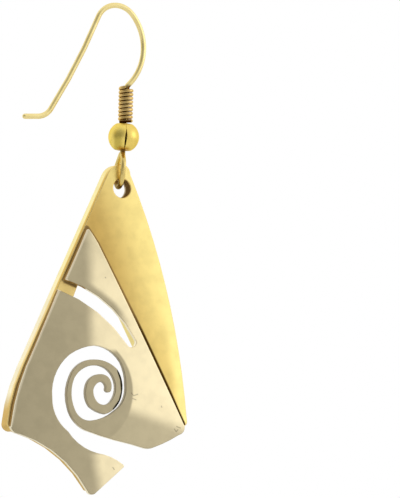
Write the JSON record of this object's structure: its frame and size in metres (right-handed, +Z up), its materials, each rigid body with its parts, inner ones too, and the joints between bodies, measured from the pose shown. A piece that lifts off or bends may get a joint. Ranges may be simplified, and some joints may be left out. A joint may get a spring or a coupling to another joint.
{
  "type": "dangle earring",
  "caption": "Fish-hook ear wire with a wound coil and a bead, carrying a curved triangular pendant: a brass frame under a silver-coloured openwork spiral overlay.",
  "frame": {"origin": "underside of the ear wire's crest, where the earring hangs on the ear", "axes": "+Z up, the pendant's show face towards -Y, +X to the viewer's right; stored hanging"},
  "size_m": [0.0197, 0.0039, 0.0495],
  "materials": {
    "hook_wire": "drawn wire, pale gold, bright satin",
    "coil_wire": "drawn wire, tan gold with dark grooves",
    "bead_shell": "polished yellow gold colour",
    "frame_brass": "satin brushed brass",
    "overlay_silver": "satin nickel silver, flat and slightly scratched"
  },
  "bodies": {
    "ear_hook": {"ear_wire": "hook_wire", "wire_coil": "coil_wire", "bead": "bead_shell"},
    "pendant": {"back_plate": "frame_brass", "front_plate": "overlay_silver"}
  },
  "joints": [
    {"name": "pendant_swing", "type": "hinge", "parent": "ear_hook", "child": "pendant", "pos_m": [0.00065, 0.00074, -0.01778], "axis": [0, 1, 0], "range_deg": [-100, 80]}
  ]
}
